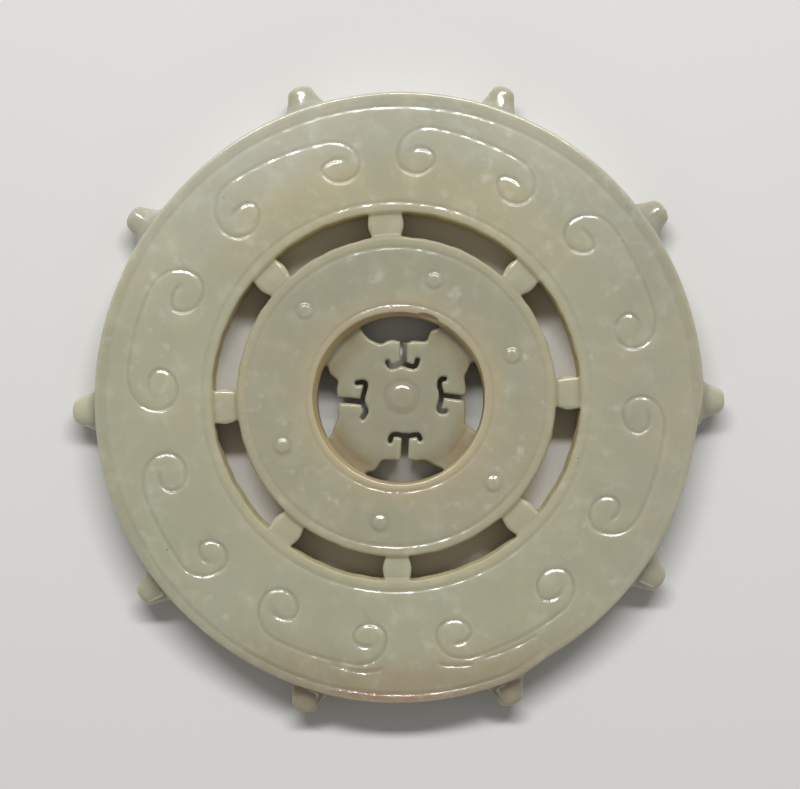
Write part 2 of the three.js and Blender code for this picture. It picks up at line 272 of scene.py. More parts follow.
# Cloudy patches of the stone: waves to the metre, detail and roughness of the noise, and the noise values
# where a patch begins and is full
CLOUDS = (80, 6, 0.7, 0.35, 0.65)
COOL_PATCHES = (130, 3, 0.5, 0.5, 0.7)
PALE_PATCHES = (300, 4, 0.55, 0.48, 0.75)
FLECK_SPREAD = (110, 2, 0.5, 0.4, 0.6)
FLECKS = (430, 2, 0.5, 0.56, 0.8)
BLOTCHES = (210, 3, 0.5, 0.3, 0.6)
STAIN_BLOTCHES = (420, 3, 0.5, 0.35, 0.6)

# Colours of the stone, linear, with the share of each layer over the ones before
CLOUD_GREEN = (0.432, 0.425, 0.31, 1)
STONE_LAYERS = [
    (CLOUDS, 1, (0.47, 0.447, 0.32, 1)),
    (COOL_PATCHES, 0.4, (0.45, 0.46, 0.36, 1)),
    (PALE_PATCHES, 0.5, (0.55, 0.545, 0.425, 1)),
]
MILKY_WHITE = (0.64, 0.64, 0.54, 1)
FLECK_SHARE = 0.5
INNER_FLECK_SHARE = 0.35

# A zone is a list of limits: an axis or a centre to measure from, and where the zone begins and is full, in
# millimetres
WHEEL_CENTRE = (0, 0)
INNER_FLECK_ZONE = [(WHEEL_CENTRE, 23.5, 21.5)]
SLOT_TAN_ZONE = [(SLOT_CENTRE, 20.8, 21.8), (SLOT_CENTRE, 28.8, 27.8)]
SLOT_WALL_ZONE = [(SLOT_CENTRE, 22.5, 22.9), (SLOT_CENTRE, 27.1, 26.7), ("Z", 6.6, 5.3)]
MOUTH_TAN_ZONE = [(WHEEL_CENTRE, 17.5, 12.8)]
HUB_ZONE = [(WHEEL_CENTRE, 13.2, 12.8), ("Z", 6.9, 6.6)]
HUB_WALL_ZONE = [*HUB_ZONE, ("Z", 5.1, 5.7)]
HUB_CORNER_ZONE = [(WHEEL_CENTRE, 10.5, 11.3), (WHEEL_CENTRE, 12.9, 12.1), ("Z", 6.6, 6.3)]
CRESCENT_ZONE = [*HUB_ZONE, (WHEEL_CENTRE, 7.8, 11.6)]
RED_STAIN_ZONE = [(WHEEL_CENTRE, 42.5, 42.8), (WHEEL_CENTRE, 43.7, 43.4), ("Y", -41.8, -42.4)]
# Half-width of the slots' edges that are stained in full, and of those stained at all
LIP_FULL = 0.2
LIP_REACH = 0.5

# Shades over the front, in this order: the colour multiplied in, and its zone. Some are painted light and
# painted shade: the top of the outer ring lighter and bluer, the knobs at the left and right lighter, and the
# bottom of the outer ring darker and warmer.
SHADES = {
    # painted light and sheen: the top of the outer ring lighter and bluer
    "painted_light_top": ((1.09, 1.1, 1.18, 1), [("Y", 12, 36), (WHEEL_CENTRE, 32, 39), (WHEEL_CENTRE, 45.5, 44.5)]),
    "upper_left": ((1.05, 1.05, 1.08, 1), [("X", 2, -16), ("Y", 6, 24), (WHEEL_CENTRE, 30.5, 35.5)]),
    # painted light: the knobs at the left and right lighter
    "left_knob_painted_light": ((1.18, 1.18, 1.22, 1), [("X", -37.4, -45.8), (WHEEL_CENTRE, 44.5, 45.5)]),
    "right_knob_painted_light": ((1.18, 1.18, 1.22, 1), [("X", 37.4, 45.8), (WHEEL_CENTRE, 44.5, 45.5)]),
    "honey": ((1.06, 1.02, 0.97, 1), [("Y", 12, 28), (WHEEL_CENTRE, 24.5, 28.5), (WHEEL_CENTRE, 36.5, 32.5)]),
    "right_side": ((0.94, 0.93, 0.955, 1), [("X", 18, 36)]),
    "rim": ((0.91, 0.91, 0.92, 1), [(WHEEL_CENTRE, 42, 43)]),
    # painted shade: the bottom of the outer ring darker and warmer
    "painted_shade_bottom": ((0.867, 0.778, 0.73, 1), [("Y", -30, -42), (WHEEL_CENTRE, 34, 41)]),
    "inner_ring": ((0.92, 0.895, 0.89, 1), [(SLOT_CENTRE, 23.5, 22.8)]),
    "inner_ring_top": ((0.94, 0.965, 0.99, 1), [(SLOT_CENTRE, 23.5, 22.8), ("Y", 4, 16)]),
}

# Stains in and beside the openings, and along the bottom of the rim; painted shade darkens the slots' edges
# and the hub's crescents further, and painted light lightens the slots' and hub's walls
SLOT_TAN = (0.46, 0.425, 0.29, 1)
SLOT_TAN_SHARE = 0.3
MOUTH_TAN = (0.49, 0.42, 0.275, 1)
MOUTH_TAN_SHARE = 0.6
# brown of the slots' unpolished edges, darkened further as painted shade
LIP_BROWN_AND_PAINTED_SHADE = (0.82, 0.79, 0.69, 1)
# brown of the slots' sawn walls, lightened as painted light that stands in for light through the stone
SLOT_WALL_BROWN_AND_PAINTED_LIGHT = (0.52, 0.43, 0.22, 1)
SLOT_WALL_SHARE = 0.85
HUB_SHADE = (0.79, 0.84, 0.89, 1)
# brown stain with painted shade, darkening the hub disc towards its wall
CRESCENT_STAIN_AND_PAINTED_SHADE = (0.26, 0.195, 0.09, 1)
CRESCENT_SHARE = 0.33
CRESCENT_BLOTCH_SHARE = 0.5
# brown of the hub wall, lightened as painted light that stands in for light through the stone
HUB_WALL_BROWN_AND_PAINTED_LIGHT = (0.47, 0.37, 0.19, 1)
RED_SHADE = (1, 0.74, 0.75, 1)

# Dark specks in the front, by X and Y
SPECKS = [(-25.3, 28.8), (25.7, -8.7), (-33.4, -21.9)]
SPECK_RADIUS = 0.16
SPECK_BLACK = (0.06, 0.05, 0.035, 1)

# Polish: lowest roughness, how much it varies and over which noise, and what unpolished places add to it
POLISH = 0.09
POLISH_CHANGE = 0.1
POLISH_NOISE = (60, 4)
HUB_CORNER_MATT = 0.5
SLOT_WALL_MATT = 0.4
LIP_MATT = 0.45

# Fine grain of the surface, and pits in the red stain
GRAIN_NOISE = (1500, 3)
PIT_NOISE = (4000, 1)
PIT_DEPTH = 8
BUMP_STRENGTH = 0.15
BUMP_DISTANCE = 0.05 * MM

# How light enters the jade
JADE_IOR = 1.6
LIGHT_SHARE = 0.9
LIGHT_REACH = 3 * MM
LIGHT_TINT = (1, 0.9, 0.7)

# Floor, surround and lamps; each lamp has its place, size and power, and shows in reflections or doesn't
FLOOR_SIZE = 2
FLOOR_GAP = 0.02 * MM
FLOOR_COLOUR = (0.72, 0.71, 0.69, 1)
FLOOR_ROUGHNESS = 0.8
SURROUND_COLOUR = (0.9, 0.9, 0.88, 1)
SURROUND_STRENGTH = 0.2
LAMPS = {
    "key": ((0, 0.5, 0.66), (0.75, 0.1), 6.8, True),
    "left_fill": ((-0.6, 0.1, 0.5), (0.4, 0.4), 0.12, False),
    "right_fill": ((0.6, 0.1, 0.5), (0.4, 0.4), 0.12, False),
    "low_fill": ((0, -0.62, 0.28), (0.5, 0.12), 0.36, True),
}

# Photograph's view: pixels of the rim's centre, size of a pixel at the front face, and distance to that face
IMAGE_SIZE = (800, 789)
RIM_CENTRE_PIXEL = (399.63, 397.8)
PIXEL = 0.144 * MM
VIEW_DISTANCE = 340 * MM
SENSOR_WIDTH = 36


# Helpers for curves and blends

def polar(radius, degrees):
    """X and Y at a distance and angle from the wheel's centre."""
    angle = np.radians(degrees)
    return np.stack([radius * np.sin(angle), radius * np.cos(angle)], axis=-1)


def smoothstep(low, high, value):
    """Smooth share from 0 at low to 1 at high."""
    share = np.clip((value - low) / (high - low), 0, 1)
    return share * share * (3 - 2 * share)


def smooth_path(points, steps):
    """A Catmull-Rom curve through points, with a number of steps between each two."""
    points = np.asarray(points, float)
    padded = np.vstack([2 * points[0] - points[1], points, 2 * points[-1] - points[-2]])
    share = np.linspace(0, 1, steps, endpoint=False)[:, None]
    path = []
    for before, start, end, after in zip(padded, padded[1:], padded[2:], padded[3:]):
        slope_in = (end - before) / 2
        slope_out = (after - start) / 2
        rise = 3 * (end - start) - 2 * slope_in - slope_out
        bend = 2 * (start - end) + slope_in + slope_out
        path.append(start + share * (slope_in + share * (rise + share * bend)))
    return np.vstack([*path, points[-1:]])


def waver(table, degrees):
    """Change of radius at an angle, from a table of angles and changes."""
    angles, changes = zip(*table)
    return np.interp(degrees, angles, changes, period=360)


def beside_stroke(places, start, end):
    """Distance of places from a straight stroke, and whether they lie on its left."""
    step = end - start
    offset = places - start
    share = np.clip(offset @ step / (step @ step), 0, 1)
    away = np.linalg.norm(offset - share[:, None] * step, axis=1)
    return away, step[0] * offset[:, 1] > step[1] * offset[:, 0]


def capsule_outline(start, end, width):
    """Outline of a straight stroke with round ends."""
    along = math.degrees(math.atan2(end[0] - start[0], end[1] - start[1]))
    turns = np.linspace(90, 270, CAP_STEPS)
    return np.vstack([start + polar(width / 2, along + turns), end + polar(width / 2, along + 180 + turns)])


# Solid shapes

def new_object(name, shape):
    """Links an object made of a bmesh, with its doubles merged and its faces turned outwards."""
    bmesh.ops.remove_doubles(shape, verts=shape.verts, dist=MERGE_DISTANCE)
    bmesh.ops.recalc_face_normals(shape, faces=shape.faces)
    mesh = bpy.data.meshes.new(name)
    shape.to_mesh(mesh)
    shape.free()
    made = bpy.data.objects.new(name, mesh)
    bpy.context.scene.collection.objects.link(made)
    return made


def turn_profile(shape, profile, steps):
    """Turns a profile of radius and height about the vertical axis; returns the new vertices."""
    before = set(shape.verts)
    verts = [shape.verts.new((radius, 0, height)) for radius, height in profile]
    edges = [shape.edges.new(pair) for pair in zip(verts, verts[1:])]
    bmesh.ops.spin(shape, geom=verts + edges, cent=(0, 0, 0), axis=(0, 0, 1), angle=2 * math.pi,
                   steps=steps, use_merge=True)
    return [vert for vert in shape.verts if vert not in before]


def push_through(shape, outline, lean=0):
    """Pushes a flat outline right through the slab; a leaning one is in its place at the hub's front."""
    top = FRONT + OVERSHOOT
    shift = lean * (top - HUB_FRONT)
    face = shape.faces.new([shape.verts.new((x + shift, y, top)) for x, y in outline])
    pushed = bmesh.ops.extrude_face_region(shape, geom=[face])
    moved = [item for item in pushed["geom"] if isinstance(item, bmesh.types.BMVert)]
    depth = top + OVERSHOOT
    bmesh.ops.translate(shape, vec=(-lean * depth, 0, -depth), verts=moved)


def settle(piece):
    """Makes a piece's modifiers part of its mesh."""
    shown = piece.evaluated_get(bpy.context.evaluated_depsgraph_get())
    settled = bpy.data.meshes.new_from_object(shown)
    old = piece.data
    piece.modifiers.clear()
    piece.data = settled
    bpy.data.meshes.remove(old)


def combine(piece, tool, operation):
    """Joins another solid to a piece, or cuts it away, and removes that solid."""
    change = piece.modifiers.new(tool.name, "BOOLEAN")
    change.operation = operation
    change.solver = "EXACT"
    change.object = tool
    settle(piece)
    used = tool.data
    bpy.data.objects.remove(tool)
    bpy.data.meshes.remove(used)


def ground_share(degrees):
    """How much of the worn stretch's depth is gone at an angle, from 0 to 1."""
    into = smoothstep(GROUND_FROM - GROUND_FADE, GROUND_FROM + GROUND_FADE, degrees)
    out = smoothstep(GROUND_TO - GROUND_FADE, GROUND_TO + GROUND_FADE, degrees)
    return into - out


def rounded_corner(radius, height, rounding, first, last):
    """Profile points of an elliptical quarter of the slab's edge."""
    turns = np.radians(np.linspace(first, last, ROUNDING_STEPS + 1))
    return [(radius + rounding[0] * math.cos(turn), height + rounding[1] * math.sin(turn)) for turn in turns]


def blank():
    """The turned slab with its hub recesses, rounded rim and worn stretch."""
    front_radius = RIM_RADIUS - FRONT_ROUNDING[0]
    back_radius = RIM_RADIUS - BACK_ROUNDING[0]
    profile = [
        (0, HUB_BACK),
        (HUB_FLOOR_RADIUS, HUB_BACK),
        (HUB_BACK_MOUTH_RADIUS, 0),
        *rounded_corner(back_radius, BACK_ROUNDING[1], BACK_ROUNDING, -90, 0),
        *rounded_corner(front_radius, FRONT - FRONT_ROUNDING[1], FRONT_ROUNDING, 0, 90),
        (HUB_MOUTH_RADIUS, FRONT),
        (HUB_FLOOR_RADIUS, HUB_FRONT + HUB_FILLET),
        (HUB_FLOOR_RADIUS - HUB_FILLET, HUB_FRONT),
        (0, HUB_FRONT),
    ]
    shape = bmesh.new()
    turn_profile(shape, profile, TURN_STEPS)
    inside = [vert for vert in shape.verts if vert.co.xy.length < HUB_MOUTH_RADIUS + MOUTH_MARGIN]
    floor = [vert for vert in inside if vert.co.z < FRONT - MOUTH_MARGIN]
    mouth = [vert for vert in inside if vert.co.z >= FRONT - MOUTH_MARGIN]
    rim = [vert for vert in shape.verts if vert.co.xy.length > GROUND_INNER_RADIUS]
    for vert in mouth + rim:
        degrees = math.degrees(math.atan2(vert.co.x, vert.co.y)) % 360
        if vert.co.xy.length > GROUND_INNER_RADIUS:
            change = waver(RIM_WAVER, degrees) - GROUND_DEPTH * ground_share(degrees)
        else:
            change = waver(MOUTH_WAVER, degrees)
        vert.co.xy *= 1 + float(change) / vert.co.xy.length
    bmesh.ops.translate(shape, vec=(*HUB_FLOOR_SHIFT, 0), verts=floor)
    return new_object("blank", shape)


def knobs():
    """All the thumb-shaped knobs, each standing out from the rim at mid-thickness on a flared foot."""
    shape = bmesh.new()
    for degrees, height, girth in KNOBS:
        foot = RIM_RADIUS - GROUND_DEPTH * float(ground_share(degrees))
        height += RIM_RADIUS - foot
        outline = smooth_path(KNOB_OUTLINE, CURVE_STEPS)
        profile = [(0, outline[0, 0] * height)]
        profile += [(girth * half_width, share * height) for share, half_width in outline]
        verts = turn_profile(shape, profile, KNOB_STEPS)
        stand = Matrix.Rotation(-math.radians(degrees), 4, "Z") @ Matrix.Translation((0, foot, MIDDLE))
        flatten = Matrix.Scale(KNOB_THICKNESS, 4, (0, 0, 1))
        lay = Matrix.Rotation(-math.pi / 2, 4, "X")
        bmesh.ops.transform(shape, matrix=stand @ flatten @ lay, verts=verts)
    return new_object("knobs", shape)


def edge_waver(degrees):
    """Waver of a hand-sawn edge along an arc, between -1 and 1."""
    turn = np.radians(degrees)
    return np.mean([np.sin(count * turn + phase) for count, phase in SLOT_WAVES], axis=0)


def slots():
    """All the arc slots; their ends hollow in beside the struts."""
    middle = (SLOT_INNER_RADIUS + SLOT_OUTER_RADIUS) / 2
    shape = bmesh.new()
    for first, last in SLOTS:
        angles = np.linspace(first - SLOT_CORNER, last + SLOT_CORNER, SLOT_STEPS)
        outer = polar(SLOT_OUTER_RADIUS + SLOT_WAVER * edge_waver(angles), angles)
        inner = polar(SLOT_INNER_RADIUS + SLOT_WAVER * edge_waver(-angles), angles)[::-1]
        last_end = smooth_path([outer[-1], polar(middle, last), inner[0]], CURVE_STEPS)
        first_end = smooth_path([inner[-1], polar(middle, first), outer[0]], CURVE_STEPS)
        outline = np.vstack([outer, last_end[1:-1], inner, first_end[1:-1]])
        push_through(shape, outline + SLOT_CENTRE)
    return new_object("slots", shape)


def hub_segments():
    """The parts of the hub's openings that lie against the hub wall."""
    shape = bmesh.new()
    for opening in OPENINGS.values():
        edge = smooth_path(opening["edge"], CURVE_STEPS) - HUB_FLOOR_SHIFT
        away = np.linalg.norm(edge, axis=1)
        edge *= np.minimum(1, HUB_FLOOR_RADIUS / away)[:, None]
        first, last = np.degrees(np.arctan2(edge[[0, -1], 0], edge[[0, -1], 1]))
        span = (last - first) % 360
        wall = polar(HUB_FLOOR_RADIUS + WALL_OVERLAP, first + np.linspace(span, 0, WALL_STEPS))
        push_through(shape, np.vstack([edge, wall]) + HUB_FLOOR_SHIFT)
    return new_object("hub_segments", shape)


def hub_strokes():
    """Sets of straight sawn strokes that make up the hub's stems and bars; no two in a set overlap."""
    strokes = []
    for opening in OPENINGS.values():
        stem = smooth_path(opening["stem"], CURVE_STEPS)
        bar = smooth_path(opening["bar"], CURVE_STEPS)
        stem_width = opening["stem_width"]
        lean = opening.get("stem_lean", 0)
        stem_strokes = [(capsule_outline(*ends, stem_width), lean) for ends in zip(stem, stem[1:])]
        bar_strokes = [(capsule_outline(*ends, BAR_WIDTH), 0) for ends in zip(bar, bar[1:])]
        strokes.append(stem_strokes + bar_strokes)
    for group in itertools.zip_longest(*strokes):
        shape = bmesh.new()
        for outline, lean in filter(None, group):
            push_through(shape, outline, lean)
        yield new_object("hub_strokes", shape)


def chip():
    """The shell-shaped piece that is broken out of the hub's mouth."""
    shape = bmesh.new()
    bmesh.ops.create_icosphere(shape, subdivisions=CHIP_STEPS, radius=1)
    bmesh.ops.scale(shape, vec=CHIP_SIZE, verts=shape.verts)
    turn = -math.atan2(CHIP_PLACE[0], CHIP_PLACE[1])
    matrix = Matrix.Translation(CHIP_PLACE) @ Matrix.Rotation(turn, 4, "Z")
    bmesh.ops.transform(shape, matrix=matrix, verts=shape.verts)
    return new_object("chip", shape)


# Relief of the front, as height changes in millimetres at places given by X and Y

def trough(distance, half_width, depth):
    """A groove with a rounded bottom and soft lips."""
    return -depth * smoothstep(half_width, 0, np.abs(distance))


def uneven_trough(away, outside, cut):
    """A groove whose outer and inner walls have their own widths."""
    outer, inner, depth = cut
    return trough(away, np.where(outside, outer, inner), depth)


def border_grooves(places):
    """The round grooves beside the rim, the slots and the hub; the rim's one fades along the worn stretch."""
    degrees = np.degrees(np.arctan2(places[:, 0], places[:, 1])) % 360
    worn = ground_share(degrees)
    radius, centre, cut = RIM_GROOVE
    away = np.linalg.norm(places - centre, axis=1) - radius + GROUND_DEPTH * worn
    relief = uneven_trough(away, away > 0, cut) * (1 - GROUND_GROOVE_FADE * worn)
    for radius, centre, cut in RING_GROOVES:
        away = np.linalg.norm(places - centre, axis=1) - radius
        relief += uneven_trough(away, away > 0, cut)
    side_share = SIDE_SHARE + (1 - SIDE_SHARE) * np.abs(np.cos(np.radians(degrees)))
    return relief * side_share * tool_depth(places)


def ellipse_arc(middle, half_width, height, first, last):
    """Points of an elliptical arc beside a volute's centre, without the arc's first point."""
    turn = np.radians(np.linspace(first, last, VOLUTE_STEPS + 1)[1:])
    return np.column_stack([middle + half_width * np.cos(turn), height * np.sin(turn)])


def volute_path(volute, arc_radius, side):
    """A volute's path from the scroll's arc to its core; side is 1 for the right one, or -1."""
    degrees, radius, size, tail_height = volute
    shoulder = LOOP_HALF_WIDTH - SHOULDER_REACH
    rise = (arc_radius - radius) / size
    local = np.vstack([
        [(shoulder, rise)],
        ellipse_arc(shoulder, SHOULDER_REACH, rise, 90, 0),
        ellipse_arc(0, LOOP_HALF_WIDTH, LOOP_DEPTH, 0, -180),
        ellipse_arc(TAIL_HALF_WIDTH - LOOP_HALF_WIDTH, TAIL_HALF_WIDTH, tail_height, 180, TAIL_END),
    ])
    return np.column_stack([
        radius + size * local[:, 1],
        degrees + np.degrees(side * size * local[:, 0] / radius),
    ])


def scroll_path(scroll):
    """A scroll's path in X and Y, with the cut at each point."""
    arc_radii, left, right = scroll
    left_path = volute_path(left, arc_radii[0], -1)[::-1]
    right_path = volute_path(right, arc_radii[1], 1)
    arc = np.linspace(left_path[-1], right_path[0], ARC_STEPS + 1)[1:-1]
    path = np.vstack([left_path, arc, right_path])
    steps = np.arange(len(left_path))[:, None]
    loop = smoothstep(*LOOP_CUT_ENDS, steps / VOLUTE_STEPS)
    tail = smoothstep(TAIL_CUT_END, 0, steps / VOLUTE_STEPS)
    cut = ARC_CUT + loop * (LOOP_CUT - ARC_CUT) + tail * (TAIL_CUT - LOOP_CUT)
    cut[:, 2] *= smoothstep(*TAIL_TIP, steps[:, 0])
    cuts = np.vstack([cut, np.tile(ARC_CUT, (len(arc), 1)), cut[::-1]])
    return polar(path[:, 0], path[:, 1]), cuts


def scroll_groove(places, path, cuts):
    """The cut along a scroll's path; the outside of the scroll lies on the path's left."""
    relief = np.zeros(len(places))
    for start, end, cut in zip(path, path[1:], (cuts[:-1] + cuts[1:]) / 2):
        away, outside = beside_stroke(places, start, end)
        relief = np.minimum(relief, uneven_trough(away, outside, cut))
    return relief * tool_depth(places)


def slip_path(points):
    """A slip's path in X and Y, with the cut at each point."""
    path = smooth_path(points, CURVE_STEPS)
    return polar(path[:, 0], path[:, 1]), np.tile(ARC_CUT, (len(path), 1))


def scrolls(places):
    """The cloud scrolls of the outer ring, slips of the tool, and a low bead in the core of each volute."""
    relief = np.zeros(len(places))
    for path, cuts in [*map(scroll_path, SCROLLS), *map(slip_path, SLIPS)]:
        low = path.min(axis=0) - SCROLL_MARGIN
        high = path.max(axis=0) + SCROLL_MARGIN
        near = np.all((places > low) & (places < high), axis=1)
        relief[near] += scroll_groove(places[near], path, cuts)
    for _, *volutes in SCROLLS:
        for degrees, radius, size, _ in volutes:
            away = np.linalg.norm(places - polar(radius - CORE_SHIFT, degrees), axis=1)
            relief += CORE_RISE * smoothstep(CORE_RADIUS * size, 0, away)
    return relief


def bosses(places):
    """The low flat-topped bosses of the inner ring, each in a shallow moat."""
    relief = np.zeros(len(places))
    for degrees, radius in BOSSES:
        away = np.linalg.norm(places - polar(radius, degrees), axis=1)
        relief += BOSS_RISE * smoothstep(BOSS_RADIUS, BOSS_RADIUS - BOSS_EDGE, away)
        relief += trough(away - BOSS_RADIUS - MOAT_HALF_WIDTH / 2, MOAT_HALF_WIDTH, BOSS_MOAT)
    return relief


def hub_middle(places):
    """The hub disc's gentle dome, and the boss and moat in its middle."""
    away = np.linalg.norm(places - HUB_BOSS_PLACE, axis=1)
    relief = HUB_DOME * smoothstep(HUB_FLOOR_RADIUS - HUB_FILLET, 0, away)
    relief += HUB_BOSS_RISE * smoothstep(HUB_BOSS_RADIUS, HUB_BOSS_RADIUS - HUB_BOSS_EDGE, away)
    return relief + trough(away - HUB_MOAT_RADIUS, HUB_MOAT_HALF_WIDTH, HUB_MOAT_DEPTH)


def opening_edges(places):
    """How far the hub's front drops beside its openings, whose edges are rounded off."""
    gap = np.full(len(places), np.inf)
    for opening in OPENINGS.values():
        lines = [(opening["edge"], 0), (opening["stem"], opening["stem_width"]), (opening["bar"], BAR_WIDTH)]
        for points, width in lines:
            path = smooth_path(points, CURVE_STEPS)
            for start, end in zip(path, path[1:]):
                away, _ = beside_stroke(places, start, end)
                gap = np.minimum(gap, away - width / 2)
    return OPENING_EDGE_DROP * smoothstep(OPENING_EDGE_REACH, 0, gap)


def strut_cushions(places):
    """How far the struts lie below the rings: a step beside each ring, a low crown, and rounded sides."""
    offset = places - SLOT_CENTRE
    radius = np.linalg.norm(offset, axis=1)
    degrees = np.degrees(np.arctan2(offset[:, 0], offset[:, 1]))
    into = np.minimum(radius - SLOT_INNER_RADIUS, SLOT_OUTER_RADIUS - radius)
    beside = np.full(len(places), np.inf)
    for first, last in SLOTS:
        turn = (degrees - first) % 360
        beside = np.minimum(beside, np.minimum(turn - (last - first), 360 - turn))
    beside = np.radians(beside) * radius
    half_gap = (SLOT_OUTER_RADIUS - SLOT_INNER_RADIUS) / 2
    drop = SLOT_EDGE_DROP * smoothstep(-SLOT_EDGE_REACH, 0, into)
    drop += STRUT_DROP * smoothstep(STRUT_STEP_START, STRUT_STEP, into)
    drop -= STRUT_CROWN * smoothstep(STRUT_STEP, half_gap, into)
    drop += STRUT_SIDE_DROP * smoothstep(STRUT_SIDE_REACH, 0, beside) * smoothstep(0, STRUT_STEP, into)
    return drop


def waves(places, table):
    """Waves across the faces, one for each row of a table of turns along X and Y and phases."""
    x, y = places.T
    return [np.sin(along_x * x + along_y * y + phase) for along_x, along_y, phase in table]


def unevenness(places):
    """Slow waves of a surface ground by hand, in shares of 1."""
    return np.mean(waves(places, FACE_WAVES), axis=0)


def tool_depth(places):
    """Share of a groove's depth that a hand-held tool cut, a little more towards the bottom."""
    wavering = np.prod(waves(places, TOOL_WAVES), axis=0)
    return 1 + WAVER * wavering + DEEPER * smoothstep(*DEEPER_BAND, places[:, 1])


def carve(piece):
    """Moves the vertices of the front and back by their relief."""
    mesh = piece.data
    points = np.empty(len(mesh.vertices) * 3, np.float32)
    mesh.vertices.foreach_get("co", points)
    points = points.reshape(-1, 3).astype(float)
    places = points[:, :2]
    height = points[:, 2].copy()
    hub_away = np.linalg.norm(places - HUB_FLOOR_SHIFT, axis=1)
    in_hub = (hub_away < HUB_FLOOR_RADIUS) & (height < FRONT - MOUTH_MARGIN)
    front_share = np.clip((height - MIDDLE) / (FRONT - MIDDLE), 0, 1)
    back_share = np.clip((MIDDLE - height) / MIDDLE, 0, 1)
    cushions = strut_cushions(places)
    relief = border_grooves(places) + scrolls(places) + bosses(places) - cushions
    relief += UNEVEN * unevenness(places)
    lift = front_share * relief + back_share * (cushions + UNEVEN * (1 + unevenness(places)))
    hub_share = np.clip((height[in_hub] - MIDDLE) / (HUB_FRONT - MIDDLE), 0, 1)
    lift[in_hub] = hub_share * (hub_middle(places[in_hub]) - opening_edges(places[in_hub]))
    points[:, 2] = np.clip(height + lift, 0, slab_high.z / MM)
    mesh.vertices.foreach_set("co", points.astype(np.float32).ravel())
    mesh.update()


def remeshed(piece):
    """Turns the joined solid into an even mesh and softens its edges as polishing does."""
    shape = bmesh.new()
    shape.from_mesh(piece.data)
    bmesh.ops.holes_fill(shape, edges=[edge for edge in shape.edges if edge.is_boundary])
    shape.to_mesh(piece.data)
    shape.free()
    grain = piece.modifiers.new("grain", "REMESH")
    grain.mode = "VOXEL"
    grain.voxel_size = GRAIN
    polish = piece.modifiers.new("polish", "SMOOTH")
    polish.factor = POLISH_SHARE
    polish.iterations = POLISH_ROUNDS
    settle(piece)


def thinned(piece):
    """Takes faces out where the surface is plain."""
    faces = sum(len(face.vertices) - 2 for face in piece.data.polygons)
    thin = piece.modifiers.new("thin", "DECIMATE")
    thin.ratio = min(1, FACE_LIMIT / faces)
    settle(piece)


def jade_wheel():
    """The whole ornament: blank and knobs joined, pierced, remeshed and carved."""
    piece = blank()
    piece.name = "jade_wheel_carved"
    combine(piece, knobs(), "UNION")
    combine(piece, slots(), "DIFFERENCE")
    combine(piece, hub_segments(), "DIFFERENCE")
    for strokes in hub_strokes():
        combine(piece, strokes, "DIFFERENCE")
    combine(piece, chip(), "DIFFERENCE")
    remeshed(piece)
    carve(piece)
    thinned(piece)
    piece.data.transform(Matrix.Scale(MM, 4))
    piece.data.shade_smooth()
    return piece


# Materials

class Wire:
    """An output socket of a finish's nodes; sums and products of wires add Math nodes."""

    def __init__(self, finish, socket):
        self.finish = finish
        self.socket = socket

    def maths(self, operation, first, second):
        return self.finish.node("ShaderNodeMath", {"operation": operation}, {0: first, 1: second})

    def __add__(self, other):
        return self.maths("ADD", self, other)

    def __radd__(self, other):
        return self.maths("ADD", other, self)

    def __sub__(self, other):
        return self.maths("SUBTRACT", self, other)

    def __rsub__(self, other):
        return self.maths("SUBTRACT", other, self)

    def __mul__(self, other):
        return self.maths("MULTIPLY", self, other)

    def __rmul__(self, other):
        return self.maths("MULTIPLY", other, self)

    def __pow__(self, other):
        return self.maths("POWER", self, other)


